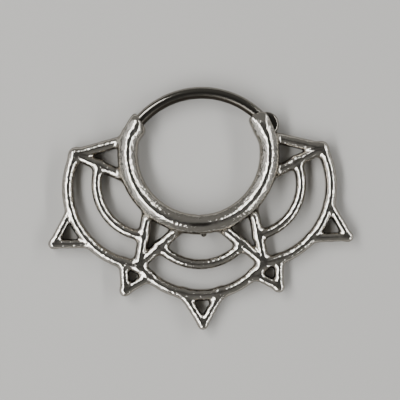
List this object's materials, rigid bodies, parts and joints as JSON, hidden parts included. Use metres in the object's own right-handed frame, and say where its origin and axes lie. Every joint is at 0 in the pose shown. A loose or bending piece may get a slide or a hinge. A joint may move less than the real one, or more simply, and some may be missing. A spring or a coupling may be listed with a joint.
{
  "type": "septum ring",
  "caption": "Hinged septum ring: a cast silver hoop with an openwork fan of triangles, scallops and open spikes, closed by a round hinged bar.",
  "frame": {"origin": "centre of the round hoop, in the plane of its flat back", "axes": "+X to the right seen from the front, +Y up the ring as worn, towards the clicker bar, +Z out of the front face; the ring lies on its flat back"},
  "size_m": [0.0252, 0.02, 0.0021],
  "materials": {
    "cast_silver": "polished cast sterling silver, slightly uneven",
    "drawn_silver": "polished drawn sterling silver wire",
    "pin_silver": "sterling silver rivet, filed flush and polished"
  },
  "bodies": {
    "frame": {"openwork_hoop": "cast_silver", "hinge_pin": "pin_silver"},
    "bar": {"clicker_bar": "drawn_silver"}
  },
  "joints": [
    {"name": "bar_hinge", "type": "hinge", "parent": "frame", "child": "bar", "pos_m": [0.00566, 0.00228, 0.00106], "axis": [0, 0, -1], "range_deg": [0, 100]}
  ]
}
